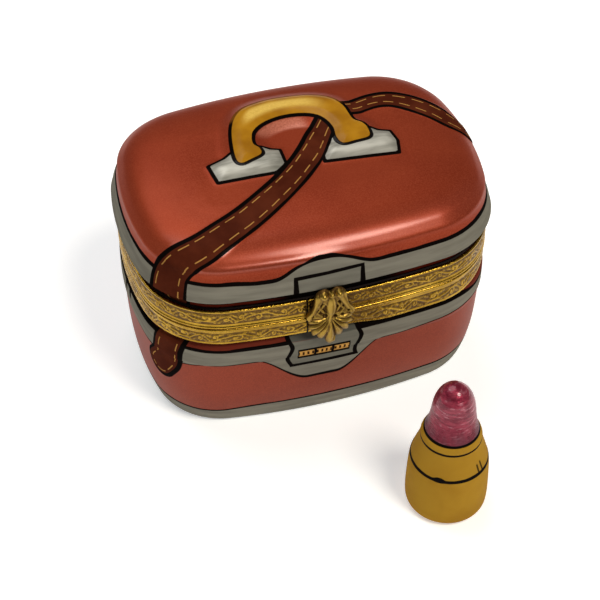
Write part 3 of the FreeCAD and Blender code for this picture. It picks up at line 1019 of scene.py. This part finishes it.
knuckleShape = {
    "sides": 48,
    "bore": 0.55,
    "endInset": 0.12,
    "ease": 0.1,
}


# hinge tubes: turned, with eased ends and the pin's bore
def makeKnuckle(node, body, material):
    low, high = boxMm(node)
    radius = (high[2] - low[2]) / 2
    endInset = knuckleShape["endInset"]
    centre = [(a + b) / 2 * mm for a, b in zip(low, high)]
    deselect()
    bpy.ops.mesh.primitive_cylinder_add(
        vertices=knuckleShape["sides"], radius=radius * mm, depth=(high[0] - low[0]) * mm,
        location=centre, rotation=(0, math.pi / 2, 0))
    tube = bpy.context.object
    bpy.ops.object.transform_apply(location=True, rotation=True, scale=True)
    bpy.ops.object.mode_set(mode="EDIT")
    bpy.ops.mesh.select_mode(type="FACE")
    bpy.ops.mesh.select_all(action="DESELECT")
    bm = bmesh.from_edit_mesh(tube.data)
    for face in bm.faces:
        face.select = abs(face.normal.x) > 0.9
    bmesh.update_edit_mesh(tube.data)
    bpy.ops.mesh.inset(thickness=endInset * mm)
    bpy.ops.mesh.inset(thickness=(radius - endInset - knuckleShape["bore"]) * mm)
    bpy.ops.mesh.bridge_edge_loops()
    bpy.ops.object.mode_set(mode="OBJECT")
    bevel = tube.modifiers.new("ease", "BEVEL")
    bevel.width = knuckleShape["ease"] * mm
    bevel.segments = 3
    bevel.limit_method = "ANGLE"
    bpy.ops.object.modifier_apply(modifier="ease")
    bpy.ops.object.shade_smooth_by_angle(angle=math.radians(40))
    name = "".join(w.capitalize() if i else w for i, w in enumerate(node.split("_")))
    return finishPiece(tube, name, body, "gilt_brass", [material], node)


# Painted and lustred porcelain. x, y and z are in millimetres, and hand is the slight wander of the
# brush that every painted edge has.
def wander(p, scale=170.0):
    return p.noise(scale, 2.0) - 0.5


def speckle(p):
    return p.noise(5200.0, 2.0, 0.6)


def rustPaint(p, shallow, deep):
    cloud = p.step(p.noise(75.0, 3.0, 0.55), 0.3, 0.7)
    grain = p.step(speckle(p), 0.35, 0.75)
    colour = p.mix(cloud, deep, shallow)
    return p.mix(grain * 0.22, colour, colours["rustFleck"])


# the brown strap with its black edges and two rows of stitches, laid over a colour
def strapPaint(p, colour):
    edge = p.attribute("strapEdge")
    across = p.attribute("strapAcross")
    along = p.attribute("strapAlong")
    hand = wander(p, 260.0)
    brown = p.mix(p.step(p.noise(220.0, 3.0), 0.35, 0.7), colours["strapDeep"], colours["strap"])
    colour = p.mix(p.over(edge + hand * 0.12), colour, brown)
    thick = p.step(across, -1.0, 1.0, 0.4, 0.68) + hand * 0.3
    onLine = p.step(edge + hand * 0.12, -0.16, -0.06) * p.under(edge - thick, 0.05)
    row = (edge - 1.15 + hand * 0.25).size()
    dash = (along + p.over(across, 0.5) * 1.3).fold(1.42)  # one row's stitches stand off the other's
    stitch = p.fade(row, 0.05, 0.12) * p.step(dash, 0.46, 0.56) * p.step(edge, 0.6, 0.75)
    colour = p.mix(onLine, colour, colours["line"])
    colour = p.mix(stitch * p.step(p.noise(900.0), 0.25, 0.45, 0.65, 1.0), colour, colours["stitch"])
    return colour, p.step(edge, -0.16, -0.04)


def greyPaint(p):
    brush = p.noise(420.0, 3.0, 0.6, stretch=(0.25, 0.25, 2.2))
    return p.mix(p.step(brush, 0.3, 0.72), colours["greyDeep"], colours["grey"])


# the place on the piece, in millimetres
def axes(p):
    split = p.tree.nodes.new("ShaderNodeSeparateXYZ")
    p.tree.links.new(p.place().socket, split.inputs[0])
    return [Value(p, split.outputs[k]) * 1000.0 for k in range(3)]


lidLines = {
    "bandTop": 32.4,
    "swell": 2.25,             # how far the grey band rises over the lock
    "dip": 0.35,               # and sinks at its left
    "bandHalfLine": 0.31,
    "plateHalfWidth": 5.0,
    "plateTop": 32.0,
    "plateHalfLine": 0.27,
    "neckTop": 28.93,
    "shadedRedNeck": (27.02, 27.56),
    "handleLine": (-0.12, 0.46),
    "plateLine": (-0.2, 0.36),
}


def lidEnamel():
    p = Paint("lidEnamel")
    x, y, z = axes(p)
    hand = wander(p)
    onFront = p.fade(y, -14.5, -12.5)
    colour = rustPaint(p, colours["lidRust"], colours["lidRustDeep"])
    grey = greyPaint(p)
    # the grey band, which swells over the lock
    swell = p.step(x, -10.2, -2.6) * p.fade(x, -1.6, 6.0) * onFront * lidLines["swell"]
    swell = swell - p.step(x, -17.0, -11.5) * p.fade(x, -9.5, -6.0) * onFront * lidLines["dip"]
    bandGap = z - (swell + lidLines["bandTop"] + hand * 0.35)
    belowBand = p.under(bandGap)
    colour = p.mix(belowBand, colour, grey)
    bandLine = p.line(bandGap, lidLines["bandHalfLine"] + hand * 0.26)
    # the lock's upper plate
    plateTop = lidLines["plateTop"]
    plateGap = (x - (lockX + 0.15) + hand * 0.5).size() - lidLines["plateHalfWidth"]
    plateGap = plateGap.most(z - plateTop - hand * 0.3 - x * 0.035)
    halfLine = lidLines["plateHalfLine"] + (plateTop - z) * 0.05 + hand * 0.24
    plateLine = p.line(plateGap, halfLine) * onFront
    onLock = p.under(plateGap) * onFront
    colour = p.mix(onLock * 0.35 * belowBand, colour, colours["lockUpper"])
    # the neck under the lid's edge, painted black with a darker red band away from the lock: partly its own
    # black line, partly painted shade under the overhang
    neck = p.fade(z - hand * 0.3, lidLines["neckTop"], lidLines["neckTop"] + 0.07)
    nearLock = p.step((x - lockX - 2).size(), 7.0, 13.0) * p.step(y, -10.0, -6.0, 1.0, 0.4)
    shadedRedNeck = p.band(z - hand * 0.4, *lidLines["shadedRedNeck"]) * nearLock
    colour = p.mix(neck, colour, p.mix(shadedRedNeck, colours["line"], colours["shadedNeckRed"]))
    lines = bandLine.most(plateLine) * (1 - neck)
    colour = p.mix(lines, colour, colours["line"])
    # the handle's plates, the strap over them, and the handle over both
    plate = p.attribute("plateGap") + hand * 0.2
    onPlate = p.under(plate)
    strokes = p.step(p.noise(300.0, 3.0, 0.6, stretch=(0.4, 2.0, 1.0)), 0.3, 0.7)
    metal = p.mix(strokes, colours["plateSilverDeep"], colours["plateSilver"])
    # the plates darken towards their edges: painted shade where the mounds slope away
    metal = p.mix(p.step(plate, -1.5, -0.3, 0.0, 0.5), metal, colours["plateEdgeShade"])
    colour = p.mix(onPlate, colour, metal)
    plateEdge = p.band(plate, *lidLines["plateLine"])
    colour = p.mix(plateEdge, colour, colours["line"])
    colour, onStrap = strapPaint(p, colour)
    handle = p.attribute("handleGap") + hand * 0.12
    onHandle = p.under(handle)
    # lighter tones stand in for the sheen under the handle's arch and along its ridge
    glow = p.band(handle, 0.5, 2.4, 0.4) * p.band(y, 5.0, 9.0, 1.0) * p.band(x, -5.5, 2.5, 1.0)
    glow = glow * (1 - onStrap)
    colour = p.mix(glow * p.step(speckle(p), 0.2, 0.7, 0.25, 0.7), colour, colours["archGlow"])
    ochre = p.mix(p.step(p.noise(210.0, 3.0), 0.3, 0.72), colours["ochreDeep"], colours["ochre"])
    colour = p.mix(onHandle, colour, ochre)
    ridge = p.fade(handle, -2.0, -0.9) * p.step(y, 6.0, 9.0)
    ridge = ridge * p.step(x, -8.0, -5.0) * p.fade(x, 3.0, 7.5)
    colour = p.mix(ridge * p.step(speckle(p), 0.2, 0.7, 0.5, 0.95), colour, colours["ridgeGlow"])
    farSide = p.step(y, 8.3, 9.8)
    handleLine = p.band(handle, *lidLines["handleLine"])
    colour = p.mix(handleLine, colour, p.mix(farSide, colours["line"], colours["farLine"]))
    glossy = onStrap.most(onHandle).most(onPlate).most(lines).most(plateEdge).most(handleLine)
    flat = glossy.most(belowBand)
    grain = speckle(p)
    rough = p.blendValue(flat, 0.3 + 0.16 * grain, 0.4)
    skin = p.noise(420.0, 2.0) * 0.6 + grain * (1 - flat) * 0.16
    silver = onPlate * (1 - plateEdge) * (1 - onStrap) * (1 - onHandle)
    crease = p.band(z, 34.3, 35.2, 0.15) * p.under(x, 4.0) * p.fade(y, -15.5, -14.0)
    underArch = p.band(handle, 0.6, 2.6, 0.5) * p.band(y, 4.5, 9.0, 1.0) * p.band(x, -5.0, 2.5, 1.0)
    shoulder = p.band(z, 34.5, 36.7, 0.5) * p.step(y, -15.0, -9.0, 0.5, 0.0)
    polish = (0.06 + shoulder + crease * 0.3).most(underArch * 0.6)
    enamelled = onHandle * (1 - handleLine) * 0.22 + silver * 0.2
    return p.finish(
        Base_Color=colour, Roughness=rough, Metallic=p.blendValue(flat, 0.4, silver * 0.3),
        Coat_Weight=p.blendValue(flat, polish, 0.01 + enamelled), Coat_Roughness=0.2,
        Specular_IOR_Level=0.0, Normal=p.bump(skin, 0.35, 0.05))


baseLines = {
    "bandLow": 15.5,
    "bandTop": 18.65,
    "dip": 5.7,                # how far the grey band hangs under the lock
    "foot": (3.35, 3.95),      # its height at the left and at the right
    "lockHalfWidth": 5.4,
    "lockLow": 13.1,
    "window": (15.6, 4.1, 1.14),  # the dials' window: middle height, half width, half height
    "dialPitch": 2.75,
    "dialGap": 0.22,
    "dials": (3.95, 0.7),      # half width of the row of three, half height
    "sideTicks": (-0.4, -2.6),
    "tickHalfWidth": 0.42,
}


def baseEnamel():
    p = Paint("baseEnamel")
    x, y, z = axes(p)
    hand = wander(p)
    onFront = p.fade(y, -14.5, -12.5)
    colour = rustPaint(p, colours["baseRust"], colours["baseRustDeep"])
    grey = greyPaint(p)
    dip = p.step(x, -13.0, -4.5) * p.fade(x, 0.0, 7.5) * onFront * baseLines["dip"]
    edgeLow = p.step(x, 9.0, 19.0, 0.0, 0.55) - p.fade(x, -24.0, -18.5)
    lowGap = z - (baseLines["bandLow"] - dip + edgeLow + hand * 0.3)
    edgeTop = p.step(x, -6.0, 5.0, 0.0, 0.35) - p.step(x, 19.0, 25.0, 0.0, 0.8)
    edgeTop = edgeTop + p.step(x, -27.0, -22.0, 0.45, 0.0)
    topGap = z - (baseLines["bandTop"] + edgeTop + hand * 0.2)
    footGap = z - (p.step(x, -22.0, -10.0, *baseLines["foot"]) + hand * 0.2)
    inBand = p.over(lowGap) * p.under(topGap)
    inFoot = p.under(footGap)
    # the shoulder above the grey band, under the bezel, is painted dark red, and black to the right of the
    # lock: painted shade under the bezel
    aboveBand = p.step(topGap, 0.0, 0.1)
    rightFront = p.step(x, 2.0, 4.0) * p.fade(x, 16.0, 19.0)
    colour = p.mix(aboveBand, colour, p.mix(rightFront, colours["shadedShoulderRed"], colours["line"]))
    onGrey = inBand.most(inFoot)
    colour = p.mix(onGrey, colour, grey)
    strongLow = 0.11 + dip * 0.035 + hand * 0.12
    lines = p.line(lowGap, strongLow, 0.05)
    lines = lines.most(p.line(topGap, 0.3 + hand * 0.25))
    lines = lines.most(p.line(footGap, 0.21 + hand * 0.14))
    # the lock's lower plate with its three dials
    turn = (z - 16.2) * 1.3
    wave = turn.maths("SINE", turn) * 0.35
    lockIn = p.step(z, 13.2, 15.4, 0.62, 0.0) * p.step(x, lockX - 1, lockX + 1)
    lockGap = (x - (lockX - 0.35) - wave + hand * 0.3).size() + lockIn - baseLines["lockHalfWidth"]
    lockGap = lockGap.most(baseLines["lockLow"] - z)
    onLock = p.under(lockGap) * onFront
    colour = p.mix(onLock * 0.55 * (1 - p.step(z, 18.9, 19.2)), colour, colours["lockLower"])
    lines = lines * (1 - onLock * p.step(z, 17.5, 18.4))
    lines = lines.most(p.line(lockGap, 0.33 + hand * 0.2) * onFront
                       * p.fade(z, 19.9, 20.1) * p.step(z, 12.6, 12.8))
    colour = p.mix(onLock * p.step(z, 18.6, 18.9), colour, colours["lockTop"])
    colour = p.mix(lines, colour, colours["line"])
    u = x - (lockX - 0.45)
    windowMiddle, windowHalfWidth, windowHalfHeight = baseLines["window"]
    rowHalfWidth, rowHalfHeight = baseLines["dials"]
    v = z - windowMiddle + u * 0.02
    window = p.under((u.size() - windowHalfWidth).most(v.size() - windowHalfHeight), 0.05) * onFront
    halfPitch = baseLines["dialPitch"] / 2
    between = baseLines["dialGap"] - (u + halfPitch).fold(halfPitch)
    dial = p.under(between.most(v.size() - rowHalfHeight).most(u.size() - rowHalfWidth), 0.05) * window
    marks = p.step((u + hand * 0.5).fold(0.36), 0.17, 0.24) * p.fade(v.size(), 0.42, 0.56)
    marks = marks * p.step(p.noise(900.0, 1.0), 0.34, 0.46)
    # two ticks on the left side
    first, second = baseLines["sideTicks"]
    sideTicks = p.under((y - first).size().least((y - second).size()) - baseLines["tickHalfWidth"])
    sideTicks = sideTicks * p.band(z, 17.3, 19.1) * p.fade(x, -25.0, -24.0)
    colour = p.mix(window.most(sideTicks), colour, colours["line"])
    colour = p.mix(dial, colour, p.mix(marks, colours["dial"], colours["dialMark"]))
    colour, onStrap = strapPaint(p, colour)
    flat = onGrey.most(lines).most(onStrap).most(window)
    grain = speckle(p)
    rough = p.blendValue(flat, 0.36 + 0.14 * grain, 0.42)
    skin = p.noise(420.0, 2.0) * 0.6 + grain * (1 - flat) * 0.16
    return p.finish(
        Base_Color=colour, Roughness=rough, Metallic=p.blendValue(flat.most(aboveBand), 0.45, 0.0),
        Coat_Weight=p.blendValue(flat, 0.06, 0.02), Coat_Roughness=0.12, Specular_IOR_Level=0.0,
        Normal=p.bump(skin, 0.35, 0.05))


def whiteGlaze():
    p = Paint("whiteGlaze")
    shade = p.step(p.noise(120.0, 3.0), 0.3, 0.7)
    pits = p.step(p.noise(1400.0, 1.0), 0.72, 0.8)
    colour = p.mix(shade, colours["glazeShade"], colours["glaze"])
    return p.finish(
        Base_Color=p.mix(pits * 0.35, colour, colours["glazePit"]), Roughness=0.2 + 0.08 * shade,
        Coat_Weight=0.5, Coat_Roughness=0.06, Normal=p.bump(p.noise(300.0, 2.0), 0.2, 0.04))


# dull is 0 for bright stampings and 1 for a worn casting
def giltBrass(name, hasRelief, dull):
    p = Paint(name)
    worn = p.step(p.noise(320.0, 4.0, 0.6), 0.3, 0.75)
    fine = p.noise(2600.0, 3.0, 0.6)
    height = p.attribute("relief") if hasRelief else 0.75 + 0.25 * worn
    raised = p.step(height + (fine - 0.5) * 0.5, 0.0, 0.75)
    gold = p.mix(worn, colours["goldDeep"], colours["gold"])
    gold = p.mix(dull, gold, colours["goldWorn"])
    colour = p.mix(raised, colours["brassDeep"], gold)
    rough = p.blendValue(raised, 0.5, 0.26 + 0.14 * dull) + 0.16 * (fine - 0.5)
    return p.finish(
        Base_Color=colour, Metallic=p.blendValue(raised, 0.7, 1.0), Roughness=rough,
        Normal=p.bump(fine + 0.5 * worn + p.noise(1300.0, 2.0) * 1.2, 0.6, 0.05))


lipstickLines = {
    "shoulder": 10.1,
    "collar": 14.55,
    "bulletFoot": 15.95,
    "blotAngle": 0.62,         # left of the front, in radians
    "ticks": ((0.5, 12.0), (0.64, 12.2)),  # angle and top of each
}


def lipstickLustre():
    p = Paint("lipstickLustre")
    x, y, z = axes(p)
    dx, dy = x - tubeX, y - tubeY
    angle = dx.maths("ARCTAN2", dx, 0 - dy)  # from the front, positive to the right
    hand = wander(p, 230.0)
    cloud = p.step(p.noise(130.0, 3.0, 0.6), 0.32, 0.7)
    ochre = p.mix(cloud, colours["lipOchreDeep"], colours["lipOchre"])
    strokes = p.noise(620.0, 4.0, 0.7, stretch=(0.7, 0.7, 2.4))
    upright = p.noise(900.0, 4.0, 0.65, stretch=(1.0, 1.0, 0.35))
    streaks = p.blendValue(p.step(z, 17.5, 20.5), upright, strokes)
    rose = p.mix(p.step(streaks, 0.35, 0.66), colours["roseDeep"], colours["rose"])
    flecks = p.noise(1300.0, 3.0, 0.6, stretch=(0.5, 0.5, 1.8))
    rose = p.mix(p.step(flecks, 0.54, 0.74) * 0.7, rose, colours["rosePale"])
    # greyer upright streaks low on the bullet: a painted reflection
    reflectionStreaks = p.noise(420.0, 2.0, 0.5, stretch=(1.2, 1.2, 0.15))
    pale = p.step(z, 16.4, 18.6, 0.55, 0.0) * p.step(reflectionStreaks, 0.4, 0.6)
    rose = p.mix(pale, rose, colours["roseReflection"])
    rose = p.mix(p.step(z, 16.2, 20.0, 0.6, 0.0), rose, colours["roseFoot"])
    onBullet = p.step(z + hand * 0.1, 15.9, 15.98)
    colour = p.mix(onBullet, ochre, rose)
    blot = p.fade((angle + lipstickLines["blotAngle"]).size(), 0.03, 0.2) * 0.2
    shoulderGap = z - lipstickLines["shoulder"] - hand * 0.2 - blot * 0.6
    lines = p.line(shoulderGap, 0.27 + blot + hand * 0.16)
    lines = lines.most(p.line(z - lipstickLines["collar"] - hand * 0.15, 0.23 + hand * 0.12))
    lines = lines.most(p.line(z - lipstickLines["bulletFoot"] - hand * 0.12, 0.21 + hand * 0.14))
    for at, top in lipstickLines["ticks"]:
        tick = p.fade((angle - at + (z - 10.5) * 0.02).size(), 0.022, 0.038)
        lines = lines.most(tick * p.step(z, 10.0, 10.2) * p.fade(z, top - 0.3, top) * 0.85)
    colour = p.mix(lines, colour, colours["line"])
    lustre = onBullet * (1 - lines)
    scratch = p.noise(1500.0, 3.0, 0.6, stretch=(0.6, 0.6, 2.0))
    skin = p.noise(380.0, 2.0) + (scratch + strokes) * lustre * 2.0
    return p.finish(
        Base_Color=colour, Metallic=lustre * 0.4, Roughness=p.blendValue(lustre, 0.32, 0.2 + 0.2 * scratch),
        Coat_Weight=0.05 + lustre * p.step(z, 18.0, 22.5, 0.1, 0.6), Coat_Roughness=0.1,
        Specular_IOR_Level=0.0, Normal=p.bump(skin, 0.9, 0.1))


# pale plaster, dark where it shows at the rims, where the neck's dark paint runs down to it, and in the
# bezel's gap, where the dark is painted shade
def cementBed():
    p = Paint("cementBed")
    grit = p.noise(1800.0, 4.0, 0.7)
    x, y, z = axes(p)
    shows = p.step((z - (lowerHigh[2] + 0.05)).size(), 2.6, 2.9)
    atGap = p.fade((x - bezelShape["gapX"]).size(), 0.5, 0.9) * p.fade(y, -15.0, -14.0)
    shows = shows.most(atGap)
    colour = p.mix(shows, p.mix(grit, colours["cementDeep"], colours["cement"]), colours["cementPaintAndShade"])
    return p.finish(Base_Color=colour, Roughness=0.85 + 0.1 * grit, Normal=p.bump(grit, 0.6, 0.05))


lidPaint, basePaint, glaze = lidEnamel(), baseEnamel(), whiteGlaze()
stampedBrass = giltBrass("stampedBrass", True, 0.0)
castBrass = giltBrass("castBrass", True, 0.65)
plainBrass = giltBrass("plainBrass", False, 0.15)
makeLid([lidPaint, glaze])
makeBase([basePaint, glaze])
makeBezel("lowerBezelStrip", "base", lowerLow[2], lowerHigh[2], True, "lower_bezel", stampedBrass)
makeBezel("upperBezelStrip", "lid", upperLow[2], upperHigh[2], False, "upper_bezel", stampedBrass)
makeClasp(castBrass)
makeLipstick(lipstickLustre())
for name in ("base_knuckle_1", "base_knuckle_2", "base_knuckle_3"):
    makeKnuckle(name, "base", plainBrass)
for name in ("lid_knuckle_1", "lid_knuckle_2"):
    makeKnuckle(name, "lid", plainBrass)


def repaint(nodes, material):
    for name in nodes:
        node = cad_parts[name]
        node.data.materials.clear()
        node.data.materials.append(material)


repaint(["base_hinge_bearer", "lid_hinge_bearer", "hinge_pin", "clasp_tongue", "catch_bead"], plainBrass)
repaint(["lower_bezel_cement", "upper_bezel_cement"], cementBed())
print("pieces done")

# table, light and camera
room = {
    "floorSize": 4.0,
    "floorGlow": 0.42,
    "floorGlowColour": (0.94, 0.97, 1.0, 1.0),
    "world": 0.14,
    "worldColour": (1.0, 0.99, 0.97, 1.0),
    "middle": (0.0, -0.01, 0.02),  # where every light points
}
lights = {
    "overhead": {"energy": 5.3, "size": 0.9, "place": (-0.2, 0.5, 0.95), "tone": (1.0, 1.0, 1.0)},
    "windowFront": {"energy": 7.3, "size": 0.4, "place": (0.3, -0.5, 0.98), "tone": (1.0, 0.95, 0.85)},
    "fillLeft": {"energy": 0.25, "size": 0.6, "place": (-0.9, -0.5, 0.5), "tone": (1.0, 1.0, 1.0)},
}


def makeFloor():
    deselect()
    bpy.ops.mesh.primitive_plane_add(size=room["floorSize"])
    floor = bpy.context.object
    floor.name = "table"
    p = Paint("paleTable")
    colour = p.mix(p.noise(30.0, 3.0), colours["tableShade"], colours["table"])
    floor.data.materials.append(p.finish(
        Base_Color=colour, Roughness=0.9, Specular_IOR_Level=0.1,
        Emission_Color=room["floorGlowColour"], Emission_Strength=room["floorGlow"]))


def aim(thing, target):
    direction = Vector(target) - thing.location
    thing.rotation_euler = direction.to_track_quat("-Z", "Y").to_euler()


def makeLight(name, lamp):
    deselect()
    bpy.ops.object.light_add(type="AREA", location=lamp["place"])
    light = bpy.context.object
    light.name = name
    light.data.shape = "DISK"
    light.data.energy = lamp["energy"]
    light.data.size = lamp["size"]
    light.data.color = lamp["tone"]
    aim(light, room["middle"])


view = {
    "azimuth": -16.574,
    "elevation": 45.294,
    "distance": 0.241089,
    "target": (-0.003882, -0.013116, 0.020),
    "focal": 95.33,
    "sensor": 36.0,
    "nearest": 0.005,
    "farthest": 20,
}


def makeCamera():
    az, el = math.radians(view["azimuth"]), math.radians(view["elevation"])
    back = (math.sin(az) * math.cos(el), -math.cos(az) * math.cos(el), math.sin(el))
    place = [t + view["distance"] * b for t, b in zip(view["target"], back)]
    deselect()
    bpy.ops.object.camera_add(location=place)
    camera = bpy.context.object
    camera.data.lens = view["focal"]
    camera.data.sensor_width = view["sensor"]
    camera.data.clip_start = view["nearest"]
    camera.data.clip_end = view["farthest"]
    aim(camera, view["target"])
    bpy.context.scene.camera = camera


makeFloor()
for name, lamp in lights.items():
    makeLight(name, lamp)
world = bpy.data.worlds.new("softRoom")
bpy.context.scene.world = world
world.use_nodes = True
world.node_tree.nodes["Background"].inputs[0].default_value = room["worldColour"]
world.node_tree.nodes["Background"].inputs[1].default_value = room["world"]
bpy.context.scene.view_settings.view_transform = "Standard"
makeCamera()
print("room done")
